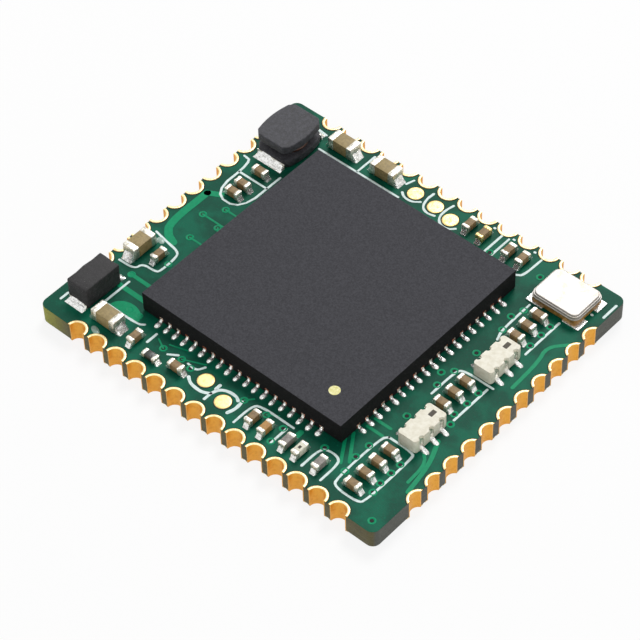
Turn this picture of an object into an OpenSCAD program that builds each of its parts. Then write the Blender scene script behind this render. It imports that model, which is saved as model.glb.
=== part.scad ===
// Surface-mount radio module: a small circuit board with plated half holes on
// all four edges, a square leadless chip, two inductors, a crystal, two ceramic
// filters and a crowd of chip capacitors, beads and resistors.
// X runs along the long edge, Y along the short edge, Z is up.
// The origin is the middle of the underside.

/* [Board] */
// Length of the board along X
board_x = 15; // [14.8:0.1:16.5]
// Width of the board along Y
board_y = 13; // [12.9:0.1:14.5]
// Thickness of the board
board_t = 0.75; // [0.5:0.05:1.6]
// Radius of the board's corners
corner_r = 0.2; // [0.1:0.05:0.6]
// How far the left edge steps in between its corners
left_step = 0.15; // [0.05:0.05:0.25]
// Thickness of the copper that stands on the board's faces
copper_t = 0.03; // [0.02:0.01:0.06]

/* [Edge contacts] */
// Spacing of the contacts along every edge
contact_pitch = 0.9; // [0.85:0.01:0.95]
// Contacts on each long edge
long_contacts = 14; // [4:1:14]
// Contacts on each short edge
short_contacts = 11; // [3:1:11]
// Radius of a half hole inside its plating
hole_r = 0.28; // [0.2:0.01:0.32]
// Thickness of the plating in a half hole
plating_t = 0.035; // [0.02:0.005:0.05]
// Width of the bare ring round a half hole
ring_w = 0.03; // [0.02:0.005:0.08]
// Length of the contact lands on the underside
land_length = 0.8; // [0.45:0.05:1]
// Shift of the whole contact pattern along X
pattern_shift = 0.15; // [0:0.05:0.2]

/* [Chip] */
// Side of the square chip
chip_side = 8.9; // [8.5:0.1:9]
// Height of the chip's moulded body
chip_h = 0.85; // [0.6:0.05:1]
// Centre of the chip along X
chip_x = -0.15; // [-0.3:0.05:0]
// Centre of the chip along Y
chip_y = 0.05; // [-0.1:0.05:0.15]
// Spacing of the chip's leads
lead_pitch = 0.4; // [0.35:0.01:0.42]
// Leads on each side of the chip
lead_count = 19; // [5:1:19]
// Width of a lead
lead_w = 0.2; // [0.12:0.01:0.22]
// Height of a lead on the chip's side
lead_h = 0.2; // [0.1:0.01:0.3]
// Length of a lead under the chip
lead_length = 0.4; // [0.2:0.05:0.6]
// Reach of a solder joint beyond the chip
joint_reach = 0.35; // [0.2:0.05:0.4]
// Side of the thermal pad under the chip
thermal_pad = 5.6; // [3:0.1:7]

/* [Small chip parts] */
// Length of a small chip part
small_length = 0.6; // [0.5:0.01:0.64]
// Width of a small chip part
small_width = 0.3; // [0.25:0.01:0.34]
// Height of a small ceramic part
small_h = 0.3; // [0.2:0.01:0.36]
// Height of the flat chip resistor
resistor_h = 0.23; // [0.15:0.01:0.3]
// Length of a small part's metal end
small_end = 0.15; // [0.08:0.01:0.2]
// Spacing of the small parts in the right-hand column
column_pitch = 0.6; // [0.55:0.01:0.62]
// Distance of that column from the right edge
column_inset = 1.73; // [1.65:0.01:1.8]

/* [Large capacitors] */
// Length of a large capacitor
large_length = 1.08; // [1:0.01:1.15]
// Width of a large capacitor
large_width = 0.58; // [0.5:0.01:0.6]
// Height of a large capacitor
large_h = 0.5; // [0.4:0.01:0.6]
// Length of a large capacitor's metal end
large_end = 0.25; // [0.15:0.01:0.35]

/* [Power inductor] */
// Width of the power inductor along X, over its bowed sides
coil_x = 1.68; // [1.5:0.01:1.7]
// Length of the power inductor along Y
coil_y = 1.96; // [1.8:0.01:2]
// Height of the power inductor
coil_h = 0.99; // [0.8:0.01:1.2]
// How far each long side bows outwards
coil_bow = 0.1; // [0.05:0.01:0.15]
// Cut across each corner of a flange
coil_chamfer = 0.1; // [0.05:0.01:0.2]
// Distance of the power inductor from the left edge
coil_inset_x = 1.4; // [1.38:0.01:1.45]
// Distance of the power inductor from the back edge
coil_inset_y = 1.9; // [1.88:0.01:1.95]
// Thickness of the lower ferrite flange
lower_flange_t = 0.3; // [0.2:0.01:0.35]
// Thickness of the upper ferrite flange
upper_flange_t = 0.22; // [0.2:0.01:0.35]
// How far the resin round the winding lies inside the flanges
resin_inset = 0.04; // [0.02:0.01:0.1]
// Radius of the post between the flanges
post_r = 0.42; // [0.3:0.01:0.45]
// Turns of wire in one layer on the post
turns = 4; // [3:1:6]
// Outer radius of the winding
winding_r = 0.68; // [0.6:0.01:0.72]

/* [Moulded inductor] */
// Width of the moulded inductor along X
block_x = 0.92; // [0.8:0.01:0.95]
// Length of the moulded inductor along Y
block_y = 1.6; // [1.4:0.05:1.65]
// Height of the moulded inductor
block_h = 0.87; // [0.6:0.01:1]
// Distance of the moulded inductor from the left edge
block_inset_x = 1; // [0.98:0.01:1.02]
// Distance of the moulded inductor from the front edge
block_inset_y = 1.7; // [1.68:0.01:1.75]

/* [Crystal] */
// Length of the crystal over its lid
crystal_x = 2; // [1.8:0.05:2]
// Width of the crystal over its lid
crystal_y = 1.6; // [1.4:0.05:1.6]
// Distance of the crystal from the right edge
crystal_inset_x = 1.5; // [1.48:0.01:1.52]
// Distance of the crystal from the back edge
crystal_inset_y = 1.38; // [1.36:0.01:1.4]
// Height of the ceramic base
crystal_base_h = 0.27; // [0.2:0.01:0.4]
// Height of the metal lid
crystal_lid_h = 0.2; // [0.12:0.01:0.25]
// How far the lid stands out over the ceramic base
crystal_overhang = 0.06; // [0.04:0.01:0.1]
// Radius of the lid's corners
crystal_lid_r = 0.28; // [0.2:0.01:0.35]

/* [Filters] */
// Width of a ceramic filter along X
filter_x = 0.8; // [0.7:0.01:0.85]
// Length of a ceramic filter along Y
filter_y = 1.6; // [1.5:0.01:1.65]
// Height of a ceramic filter
filter_h = 0.57; // [0.4:0.01:0.7]
// Spacing of the terminals on a filter's side
terminal_pitch = 0.5; // [0.4:0.01:0.55]
// Radius of the groove that holds a terminal
groove_r = 0.1; // [0.07:0.01:0.12]
// Reach of a filter's solder foot
foot_reach = 0.3; // [0.2:0.01:0.35]
// Distance of the filters from the right edge
filter_inset = 1.48; // [1.4:0.01:1.5]

/* [Solder and test pads] */
// Thickness of the solder under every part
solder_t = 0.03; // [0.02:0.005:0.05]
// Reach of the solder in front of a small part's end
small_fillet = 0.12; // [0.06:0.01:0.13]
// Reach of the solder in front of a large capacitor's end
large_fillet = 0.2; // [0.1:0.01:0.22]
// Reach of the solder in front of an inductor
coil_fillet = 0.26; // [0.1:0.01:0.28]
// Radius of a round test pad
test_pad_r = 0.3; // [0.2:0.01:0.3]

/* [Hidden] */
$fn = 48;
hair = 0.01;
top_z = copper_t + board_t;
part_z = top_z + solder_t;
front = -board_y / 2;
back = board_y / 2;
left = -board_x / 2;
right = board_x / 2;

// Hole centres: the left row lies on its edge, the right row just outside its own.
left_row = left + left_step;
right_row = 2 * pattern_shift - left_row;
drill_r = hole_r + plating_t;
ring_r = drill_r + ring_w;
short_row_half = (short_contacts - 1) / 2 * contact_pitch;

// Kinds of small chip part: height, body colour, colour of the ends.
CAPACITOR = [small_h, "#8a6a45", "gainsboro"];
RESISTOR = [resistor_h, "#2a2a2a", "gainsboro"];
BEAD = [small_h, "gray", "gainsboro"];
PALE = [small_h, "linen", "gainsboro"];
LONG_X = 0;
LONG_Y = 90;

// Each small part: its name, centre, the way its length runs, its kind.
column_x = right - column_inset;
column_starts = [3.9, 0.1, -3.7];
column_names = [
    ["capacitor_right_1", "capacitor_right_2", "capacitor_right_3"],
    ["capacitor_right_4", "capacitor_right_5", "capacitor_right_6"],
    ["capacitor_right_7", "capacitor_right_8", "capacitor_right_9", "capacitor_right_10"]
];
column_parts = [for (c = [0:2]) for (i = [0:len(column_names[c]) - 1])
    [column_names[c][i], [column_x, column_starts[c] - i * column_pitch], LONG_X, CAPACITOR]];
edge_parts = [
    ["capacitor_back_1", [1.35, back - 0.85], LONG_Y, CAPACITOR],
    ["capacitor_back_2", [2, back - 0.9], LONG_Y, CAPACITOR],
    ["capacitor_back_3", [3.15, back - 0.95], LONG_Y, CAPACITOR],
    ["capacitor_back_4", [3.75, back - 0.95], LONG_Y, CAPACITOR],
    ["capacitor_left_1", [left + 1.6, 2.85], LONG_X, CAPACITOR],
    ["capacitor_left_2", [left + 1.55, 2], LONG_X, CAPACITOR],
    ["capacitor_left_3", [left + 1.55, 1.5], LONG_X, CAPACITOR],
    ["capacitor_left_4", [left + 1.65, -2.35], LONG_Y, CAPACITOR],
    ["inductor_front_1", [-3.85, front + 0.95], LONG_Y, PALE],
    ["resistor_front_1", [-2.9, front + 0.7], LONG_X, RESISTOR],
    ["capacitor_front_1", [-1.9, front + 0.9], LONG_X, CAPACITOR],
    ["capacitor_front_2", [1.5, front + 0.95], LONG_Y, CAPACITOR],
    ["capacitor_front_3", [2.1, front + 0.9], LONG_Y, CAPACITOR],
    ["bead_front_1", [3, front + 0.95], LONG_Y, BEAD],
    ["inductor_front_2", [3.55, front + 0.95], LONG_Y, PALE],
    ["bead_front_2", [4.4, front + 0.95], LONG_Y, BEAD]
];
small_parts = concat(column_parts, edge_parts);

// Each large capacitor: its name, centre and the way its length runs.
large_parts = [
    ["bulk_capacitor_1", [-5.1, front + 0.95], LONG_X],
    ["bulk_capacitor_2", [left + 0.85, -2.45], LONG_Y],
    ["bulk_capacitor_3", [-4.45, back - 0.8], LONG_X],
    ["bulk_capacitor_4", [-2.5, back - 0.8], LONG_X]
];
test_pad_centres = [[-1.15, back - 0.8], [-0.2, back - 0.85], [0.6, back - 1],
    [-0.85, front + 1.2], [0.2, front + 0.9]];
coil_centre = [left + coil_inset_x, back - coil_inset_y];
block_centre = [left + block_inset_x, front + block_inset_y];
crystal_centre = [right - crystal_inset_x, back - crystal_inset_y];
filter_centres = [[right - filter_inset, 1.4], [right - filter_inset, -2.4]];

// ---- shared shapes ----------------------------------------------------------

module at(point, z) translate([point[0], point[1], z]) children();

// A flat rectangle with round corners.
module round_rectangle(x, y, r) {
    square([x - 2 * r, y], center = true);
    square([x, y - 2 * r], center = true);
    for (sx = [-1, 1]) for (sy = [-1, 1])
        translate([sx * (x / 2 - r), sy * (y / 2 - r)]) circle(r);
}

// A block standing on the XY plane, with all its edges rounded.
module round_block(x, y, z, r) {
    translate([0, 0, z / 2]) intersection() {
        linear_extrude(z, center = true) round_rectangle(x, y, r);
        rotate([90, 0, 0]) linear_extrude(y, center = true) round_rectangle(x, z, r);
        rotate([90, 0, 90]) linear_extrude(x, center = true) round_rectangle(y, z, r);
    }
}

// A foot of solder with a hollow back: it climbs a wall at x = 0 and thins to x = reach.
module hollow_foot(reach, height, width) {
    drop = height - hair;
    slope = atan(drop / reach);
    bend = 0.8 * min(slope, 90 - slope);
    r = norm([reach, drop]) / (2 * sin(bend));
    rotate([90, 0, 0]) linear_extrude(width, center = true) difference() {
        square([reach, height]);
        translate([r * sin(slope + bend), height + r * cos(slope + bend)]) circle(r);
    }
}

// A foot of solder with a full, rounded back that starts level.
module full_foot(reach, height, width) {
    r = (reach * reach + height * height) / (2 * height);
    rotate([90, 0, 0]) linear_extrude(width, center = true) intersection() {
        square([reach, height]);
        translate([0, height - r]) circle(r);
    }
}

// A chip part along X with metal ends that stand a hair proud of its body.
module chip_part(length, width, height, end, r, body_colour, end_colour) {
    color(body_colour) translate([0, 0, hair])
        round_block(length - end, width - 2 * hair, height - 2 * hair, r);
    color(end_colour) for (side = [-1, 1])
        translate([side * (length - end) / 2, 0, 0]) round_block(end, width, height, r);
}

// ---- board and its edge contacts ----------------------------------------------

// The board's outline before the half holes are cut.
module board_outline() {
    difference() {
        round_rectangle(board_x, board_y, corner_r);
        translate([left - left_step, -short_row_half - ring_r])
            square([2 * left_step, 2 * (short_row_half + ring_r)]);
    }
}

// Children on every hole centre of one edge, +X pointing into the board.
module on_long_edge(y, turn) {
    for (i = [0:long_contacts - 1])
        translate([pattern_shift + (i - (long_contacts - 1) / 2) * contact_pitch, y])
            rotate(turn) children();
}
module on_short_edge(x, turn) {
    for (i = [0:short_contacts - 1])
        translate([x, i * contact_pitch - short_row_half]) rotate(turn) children();
}
module on_edge(edge) {
    if (edge == "front") on_long_edge(front, 90) children();
    if (edge == "back") on_long_edge(back, -90) children();
    if (edge == "left") on_short_edge(left_row, 0) children();
    if (edge == "right") on_short_edge(right_row, 180) children();
}

module circuit_board() {
    color("darkgreen") translate([0, 0, copper_t]) linear_extrude(board_t) difference() {
        board_outline();
        for (edge = ["front", "right", "back", "left"]) on_edge(edge) circle(drill_r);
    }
}

// One edge's contacts: lands below, plated half holes, bare rings on top.
module contacts(edge) {
    color("gold") {
        linear_extrude(copper_t) intersection() {
            board_outline();
            on_edge(edge) land();
        }
        translate([0, 0, copper_t]) linear_extrude(board_t) intersection() {
            board_outline();
            on_edge(edge) ring(drill_r);
        }
        translate([0, 0, top_z]) linear_extrude(copper_t) intersection() {
            board_outline();
            on_edge(edge) ring(ring_r);
        }
    }
}
module ring(outer_r) {
    difference() {
        circle(outer_r);
        circle(hole_r);
    }
}
module land() {
    straight = land_length - ring_r;
    difference() {
        union() {
            circle(ring_r);
            translate([0, -ring_r]) square([straight, 2 * ring_r]);
            translate([straight, 0]) circle(ring_r);
        }
        circle(hole_r);
    }
}
module front_contacts() contacts("front");
module right_contacts() contacts("right");
module back_contacts() contacts("back");
module left_contacts() contacts("left");

module test_pads() {
    color("gold") for (centre = test_pad_centres)
        at(centre, top_z) cylinder(r = test_pad_r, h = copper_t);
}

// ---- leadless chip --------------------------------------------------------------

chip_centre = [chip_x, chip_y];
chip_edge_r = 0.06;
joint_h = solder_t + 0.8 * lead_h;

// Children at each lead's end on one side of the chip, +X pointing outwards.
module on_chip_side(turn) {
    at(chip_centre, 0) rotate(turn) for (i = [0:lead_count - 1])
        translate([chip_side / 2, (i - (lead_count - 1) / 2) * lead_pitch, 0]) children();
}
module lead() translate([-lead_length, -lead_w / 2, part_z]) cube([lead_length, lead_w, lead_h]);

// Solder under a lead, and a foot that climbs the lead's end.
module lead_joint() {
    translate([-lead_length, -lead_w / 2, top_z]) cube([lead_length, lead_w, solder_t]);
    translate([0, 0, top_z]) full_foot(joint_reach, joint_h, lead_w);
}
module thermal_plate(thickness) {
    translate([0, 0, thickness / 2]) cube([thermal_pad, thermal_pad, thickness], center = true);
}

module chip_body() {
    color("dimgray") difference() {
        at(chip_centre, part_z) linear_extrude(chip_h)
            round_rectangle(chip_side, chip_side, chip_edge_r);
        for (turn = [0:90:270]) on_chip_side(turn) lead();
        at(chip_centre, part_z) thermal_plate(lead_h);
    }
}
module chip_thermal_pad() {
    color("silver") at(chip_centre, top_z) thermal_plate(solder_t + lead_h);
}
module chip_right_leads() color("peru") on_chip_side(0) lead();
module chip_back_leads() color("peru") on_chip_side(90) lead();
module chip_left_leads() color("peru") on_chip_side(180) lead();
module chip_front_leads() color("peru") on_chip_side(270) lead();
module chip_right_solder() color("silver") on_chip_side(0) lead_joint();
module chip_back_solder() color("silver") on_chip_side(90) lead_joint();
module chip_left_solder() color("silver") on_chip_side(180) lead_joint();
module chip_front_solder() color("silver") on_chip_side(270) lead_joint();

// ---- power inductor ---------------------------------------------------------------

coil_main_x = coil_x - 2 * coil_bow;
coil_gap = coil_h - lower_flange_t - upper_flange_t;
wire_r = coil_gap / turns / 2;

// A rectangle whose corners are cut at 45 degrees.
module cut_rectangle(x, y, cut) {
    intersection() {
        square([x, y], center = true);
        rotate(45) square((x + y - 2 * cut) / sqrt(2), center = true);
    }
}

// A flange: a rectangle with cut corners, whose two long sides bow outwards.
module flange(thickness) {
    bow_root = 0.38 * coil_y;
    bow_crest = 0.3 * coil_y;
    linear_extrude(thickness) {
        cut_rectangle(coil_main_x, coil_y, coil_chamfer);
        polygon([[-coil_main_x / 2, -bow_root], [-coil_x / 2, -bow_crest],
            [-coil_x / 2, bow_crest], [-coil_main_x / 2, bow_root],
            [coil_main_x / 2, bow_root], [coil_x / 2, bow_crest],
            [coil_x / 2, -bow_crest], [coil_main_x / 2, -bow_root]]);
    }
}
module power_inductor_core() {
    color("dimgray") at(coil_centre, part_z) {
        flange(lower_flange_t);
        cylinder(r = post_r, h = coil_h);
        translate([0, 0, coil_h - upper_flange_t]) flange(upper_flange_t);
    }
}

// The winding, and the magnetic resin that fills the drum round it.
module power_inductor_winding() {
    at(coil_centre, part_z + lower_flange_t) {
        color("saddlebrown") rotate_extrude() {
            translate([post_r, 0]) square([winding_r - wire_r - post_r, coil_gap]);
            for (i = [0:turns - 1])
                translate([winding_r - wire_r, (2 * i + 1) * wire_r]) circle(wire_r);
        }
        color("gray") linear_extrude(coil_gap) difference() {
            cut_rectangle(
                coil_main_x - 2 * resin_inset, coil_y - 2 * resin_inset, 2 * coil_chamfer);
            circle(winding_r);
        }
    }
}

// Metal feet at both ends of a part that lies along Y, with solder in front of them.
module end_feet(length, width, under, climb, reach) {
    for (turn = [90, -90]) rotate(turn) {
        translate([length / 2 - under, -width / 2, 0]) cube([under, width, solder_t]);
        translate([length / 2, -width / 2, 0]) cube([2 * hair, width, climb]);
        translate([length / 2 + 2 * hair, 0, 0])
            hollow_foot(reach - 2 * hair, 0.7 * climb, width);
    }
}
module power_inductor_terminals() {
    color("silver") at(coil_centre, top_z)
        end_feet(coil_y, coil_main_x - coil_chamfer, 0.45, 0.22, coil_fillet);
}

// ---- moulded inductor ---------------------------------------------------------------

block_edge_r = 0.04;

module moulded_inductor_body() {
    color("#2b2b2d") at(block_centre, part_z)
        round_block(block_x, block_y, block_h, block_edge_r);
}
module moulded_inductor_terminals() {
    color("silver") at(block_centre, top_z)
        end_feet(block_y, block_x - 2 * block_edge_r, 0.35, 0.12, coil_fillet);
}

// ---- crystal --------------------------------------------------------------------------

crystal_base_x = crystal_x - 2 * crystal_overhang;
crystal_base_y = crystal_y - 2 * crystal_overhang;
lid_brim_t = 0.05;
lid_step = 0.02;

module crystal_base() {
    corner_notch_r = 0.09;
    color("saddlebrown") at(crystal_centre, part_z) linear_extrude(crystal_base_h) difference() {
        square([crystal_base_x, crystal_base_y], center = true);
        for (sx = [-1, 1]) for (sy = [-1, 1])
            translate([sx * crystal_base_x / 2, sy * crystal_base_y / 2]) circle(corner_notch_r);
    }
}

// The lid: a brim, a wall and a crown, each a step inside the last.
module crystal_lid() {
    heights = [lid_brim_t, crystal_lid_h - lid_brim_t, crystal_lid_h];
    insets = [0, lid_step, 3 * lid_step];
    color("lightgray") at(crystal_centre, part_z + crystal_base_h) for (i = [0:2])
        linear_extrude(heights[i]) round_rectangle(
            crystal_x - 2 * insets[i], crystal_y - 2 * insets[i], crystal_lid_r - insets[i]);
}
module crystal_pads() {
    pad_x = 0.7;
    pad_y = 0.6;
    show_x = 0.12;
    show_y = 0.01;
    color("silver") at(crystal_centre, top_z + solder_t / 2)
        for (sx = [-1, 1]) for (sy = [-1, 1]) translate(
            [sx * ((crystal_x - pad_x) / 2 + show_x), sy * ((crystal_y - pad_y) / 2 + show_y), 0])
            cube([pad_x, pad_y, solder_t], center = true);
}

// ---- ceramic filters --------------------------------------------------------------------

// Children at each terminal of a filter, +X pointing outwards from its side.
module on_filter_sides() {
    for (turn = [0, 180]) rotate(turn) for (i = [-1:1])
        translate([filter_x / 2, i * terminal_pitch, 0]) children();
}
module filter_body(centre) {
    color("antiquewhite") at(centre, part_z) linear_extrude(filter_h) difference() {
        round_rectangle(filter_x, filter_y, 0.12);
        on_filter_sides() circle(groove_r);
    }
}

// Metal lining in each groove, and a solder foot in front of it.
module filter_terminals(centre) {
    lining_t = 0.03;
    under = 0.2;
    color("silver") at(centre, top_z) {
        linear_extrude(solder_t + filter_h) intersection() {
            square([filter_x, filter_y], center = true);
            on_filter_sides() difference() {
                circle(groove_r);
                circle(groove_r - lining_t);
            }
        }
        on_filter_sides() {
            translate([-under, -groove_r, 0]) cube([under, 2 * groove_r, solder_t]);
            hollow_foot(foot_reach, 0.15, 2 * groove_r);
        }
    }
}
module filter_1_body() filter_body(filter_centres[0]);
module filter_1_terminals() filter_terminals(filter_centres[0]);
module filter_2_body() filter_body(filter_centres[1]);
module filter_2_terminals() filter_terminals(filter_centres[1]);

// ---- chip capacitors, beads and resistors ---------------------------------------------------

module small_part(p) {
    kind = p[3];
    at(p[1], part_z) rotate(p[2])
        chip_part(small_length, small_width, kind[0], small_end, 0.03, kind[1], kind[2]);
}
module large_part(p) {
    at(p[1], part_z) rotate(p[2])
        chip_part(large_length, large_width, large_h, large_end, 0.05, "#8f7a55", "gainsboro");
}

// Solder under and in front of both ends of one chip part.
module end_solder(length, width, end, climb, reach) {
    for (turn = [0, 180]) rotate(turn) {
        translate([length / 2 - end, -width / 2, 0]) cube([end, width, solder_t]);
        translate([length / 2, 0, 0]) hollow_foot(reach, climb, 0.9 * width);
    }
}
module small_part_solder() {
    color("silver") {
        for (p = small_parts) at(p[1], top_z) rotate(p[2])
            end_solder(small_length, small_width, small_end, 0.6 * p[3][0], small_fillet);
        for (p = large_parts) at(p[1], top_z) rotate(p[2])
            end_solder(large_length, large_width, large_end, 0.6 * large_h, large_fillet);
    }
}

// ---- what is drawn -----------------------------------------------------------------------------

circuit_board();
front_contacts();
right_contacts();
back_contacts();
left_contacts();
test_pads();
chip_body();
chip_thermal_pad();
chip_front_leads();
chip_right_leads();
chip_back_leads();
chip_left_leads();
chip_front_solder();
chip_right_solder();
chip_back_solder();
chip_left_solder();
power_inductor_core();
power_inductor_winding();
power_inductor_terminals();
moulded_inductor_body();
moulded_inductor_terminals();
crystal_base();
crystal_lid();
crystal_pads();
filter_1_body();
filter_1_terminals();
filter_2_body();
filter_2_terminals();
small_part_solder();
for (p = large_parts) large_part(p);
for (p = small_parts) small_part(p);
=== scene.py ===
import math
import random

import bmesh
import bpy
from mathutils import Matrix, Vector, noise


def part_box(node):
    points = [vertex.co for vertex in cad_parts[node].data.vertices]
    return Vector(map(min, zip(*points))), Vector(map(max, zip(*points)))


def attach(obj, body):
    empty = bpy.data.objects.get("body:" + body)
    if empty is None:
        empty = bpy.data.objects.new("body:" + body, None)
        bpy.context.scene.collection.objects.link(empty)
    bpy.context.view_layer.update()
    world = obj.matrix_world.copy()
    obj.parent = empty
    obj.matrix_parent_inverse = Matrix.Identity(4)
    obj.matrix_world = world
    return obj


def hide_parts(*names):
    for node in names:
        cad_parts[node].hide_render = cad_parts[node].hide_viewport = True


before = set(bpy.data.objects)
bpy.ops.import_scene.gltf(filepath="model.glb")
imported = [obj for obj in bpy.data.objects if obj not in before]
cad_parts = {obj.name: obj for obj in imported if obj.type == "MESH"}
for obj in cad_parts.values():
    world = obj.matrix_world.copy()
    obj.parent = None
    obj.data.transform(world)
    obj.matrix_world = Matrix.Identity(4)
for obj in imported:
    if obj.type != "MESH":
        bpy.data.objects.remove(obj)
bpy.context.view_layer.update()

# Looks of a small surface-mount radio board: a square leadless chip in the middle, plated
# half holes on all four edges, and inductors, a crystal, filters and chip parts round it.
# Lengths below are in millimetres; MM turns them into Blender's metres at the end.
MM = 0.001
RANDOM = random.Random(11)


# ---- shader expressions ------------------------------------------------------------------------


class Signal:
    """One output of a shader node. Python's operators on numbers add Math nodes."""

    def __init__(self, finish, socket):
        self.finish = finish
        self.socket = socket

    def math(self, operation, *values):
        return self.finish.node("ShaderNodeMath", {"operation": operation}, dict(enumerate(values)))

    def __add__(self, other):
        return self.math("ADD", self, other)

    def __rsub__(self, other):
        return self.math("SUBTRACT", other, self)

    def __mul__(self, other):
        return self.math("MULTIPLY", self, other)

    __radd__ = __add__
    __rmul__ = __mul__


class Nodes:
    """The empty node tree of a material or world, filled one node at a time."""

    def __init__(self, owner):
        owner.use_nodes = True
        self.tree = owner.node_tree
        self.tree.nodes.clear()

    def node(self, kind, settings=None, inputs=None, output=0):
        made = self.tree.nodes.new(kind)
        for name, value in (settings or {}).items():
            setattr(made, name, value)
        for key, value in (inputs or {}).items():
            if isinstance(value, Signal):
                self.tree.links.new(value.socket, made.inputs[key])
            else:
                made.inputs[key].default_value = value
        return Signal(self, made.outputs[output]) if made.outputs else None

    def seen(self):
        """1 for the rays that show the white backdrop, seen directly or in a reflection."""
        camera, glossy, through = (self.node("ShaderNodeLightPath", output=f"Is {ray} Ray")
                                   for ray in ("Camera", "Glossy", "Transmission"))
        return camera + glossy + through


class Finish(Nodes):
    """One material, built round a Principled surface."""

    def __init__(self, name):
        self.material = bpy.data.materials.new(name)
        super().__init__(self.material)

    def place(self):
        """Where a point lies, in millimetres."""
        metres = self.node("ShaderNodeTexCoord", output="Object")
        return self.stretched(metres, (1 / MM,) * 3)

    def stretched(self, vector, factors):
        return self.node("ShaderNodeVectorMath", {"operation": "MULTIPLY"}, {0: vector, 1: factors})

    def along(self, vector, axis):
        return self.node("ShaderNodeSeparateXYZ", inputs={0: vector}, output=axis)

    def facing(self, axis):
        """The surface's own direction along one axis, from -1 to 1."""
        return self.along(self.node("ShaderNodeNewGeometry", output="Normal"), axis)

    def grain(self, vector, scale, detail=2.0, rough=0.5):
        values = {"Vector": vector, "Scale": scale, "Detail": detail, "Roughness": rough}
        return self.node("ShaderNodeTexNoise", inputs=values)

    def step(self, value, low, high):
        """0 below low and 1 above high, smooth in between."""
        values = {"Value": value, "From Min": low, "From Max": high}
        return self.node("ShaderNodeMapRange", {"interpolation_type": "SMOOTHSTEP"}, values)

    def blend(self, share, first, second):
        """Colour first where share is 0, second where it is 1."""
        settings = {"data_type": "RGBA", "clamp_factor": True}
        return self.node("ShaderNodeMix", settings, {0: share, 6: first, 7: second}, output=2)

    def bump(self, height, depth, strength=1.0):
        """Relief from a height between 0 and 1 that stands for depth millimetres."""
        values = {"Height": height, "Distance": depth * MM, "Strength": strength}
        return self.node("ShaderNodeBump", inputs=values)

    def surface(self, **values):
        """The Principled surface. Names are its sockets' names with _ for spaces."""
        inputs = {name.replace("_", " "): value for name, value in values.items()}
        shader = self.node("ShaderNodeBsdfPrincipled", inputs=inputs)
        self.node("ShaderNodeOutputMaterial", inputs={"Surface": shader})
        return self.material


def rgb(red, green, blue):
    """A colour given as it looks on screen, 0 to 255, in Blender's linear values."""
    return tuple(((c / 255 + 0.055) / 1.055) ** 2.4 if c > 10 else c / 255 / 12.92
                 for c in (red, green, blue)) + (1.0,)


# ---- finishes ----------------------------------------------------------------------------------


def solder_mask():
    """Glossy dark green lacquer, a little lighter where copper lies under it."""
    f = Finish("solder_mask")
    here = f.place()
    cloud = f.step(f.grain(here, 0.9, 3), 0.42, 0.62)
    fine = f.grain(here, 14, 3)
    green = f.blend(cloud, rgb(0, 74, 56), rgb(0, 96, 72))
    green = f.blend(f.step(fine, 0.55, 0.8) * 0.5, green, rgb(10, 122, 92))
    weave = f.grain(f.stretched(here, (1, 3, 1)), 9, 2)
    return f.surface(Base_Color=green, Roughness=0.4 + 0.2 * fine, Specular_IOR_Level=0.12,
                     Normal=f.bump(weave, 0.004))


def masked_copper():
    """Copper under the lacquer: the same gloss in a lighter green."""
    f = Finish("masked_copper")
    here = f.place()
    fine = f.grain(here, 9, 3)
    green = f.blend(fine, rgb(0, 128, 88), rgb(10, 158, 108))
    return f.surface(Base_Color=green, Roughness=0.45, Specular_IOR_Level=0.12,
                     Normal=f.bump(fine, 0.004))


def bare_laminate():
    """The board's cut edge: brown glass laminate in thin layers, yellower at the left end, with
    painted light on the right-facing side as a greyer copy of its colour.
    """
    f = Finish("bare_laminate")
    here = f.place()
    layers = f.grain(f.stretched(here, (0.6, 0.6, 9)), 2.2, 4, 0.6)
    speck = f.step(f.grain(here, 17, 3, 0.7), 0.5, 0.75)
    left_end = 1 - f.step(f.along(here, "X"), -7.5, -5.9)
    brown = f.blend(layers, rgb(48, 44, 24), rgb(112, 104, 56))
    brown = f.blend(left_end, brown, rgb(158, 160, 52))
    # Painted light: the right-facing side of the same laminate is drawn greyer, for how the light
    # falls on it there.
    right_face_painted_light = f.step(f.facing("X"), 0.6, 0.9)
    brown = f.blend(right_face_painted_light, brown, f.blend(layers, rgb(52, 54, 48), rgb(92, 94, 84)))
    brown = f.blend(speck * 0.45, brown, rgb(22, 20, 10))
    return f.surface(Base_Color=brown, Roughness=0.6, Normal=f.bump(layers + speck * 0.5, 0.02))


# The default rim colour is the painted highlight of the half holes' rims.
def gold_plating(name="gold_plating", rim=rgb(255, 236, 178), wall=rgb(238, 172, 58)):
    """Soft gold over nickel: one colour on top-facing faces, a deeper gold down the walls. On the
    half holes the pale top colour is a painted highlight where the rims catch the light.
    """
    f = Finish(name)
    here = f.place()
    # Painted highlight: faces that point up take the pale rim colour.
    up = f.step(f.facing("Z"), 0.3, 0.85)
    worn = f.step(f.grain(here, 7, 3, 0.6), 0.45, 0.75)
    gold = f.blend(up, wall, rim)
    gold = f.blend(worn * 0.45, gold, rgb(206, 138, 42))
    fine = f.grain(here, 22, 2)
    return f.surface(Base_Color=gold, Metallic=0.45, Roughness=0.34 + 0.2 * worn,
                     Normal=f.bump(fine, 0.006))


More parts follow.
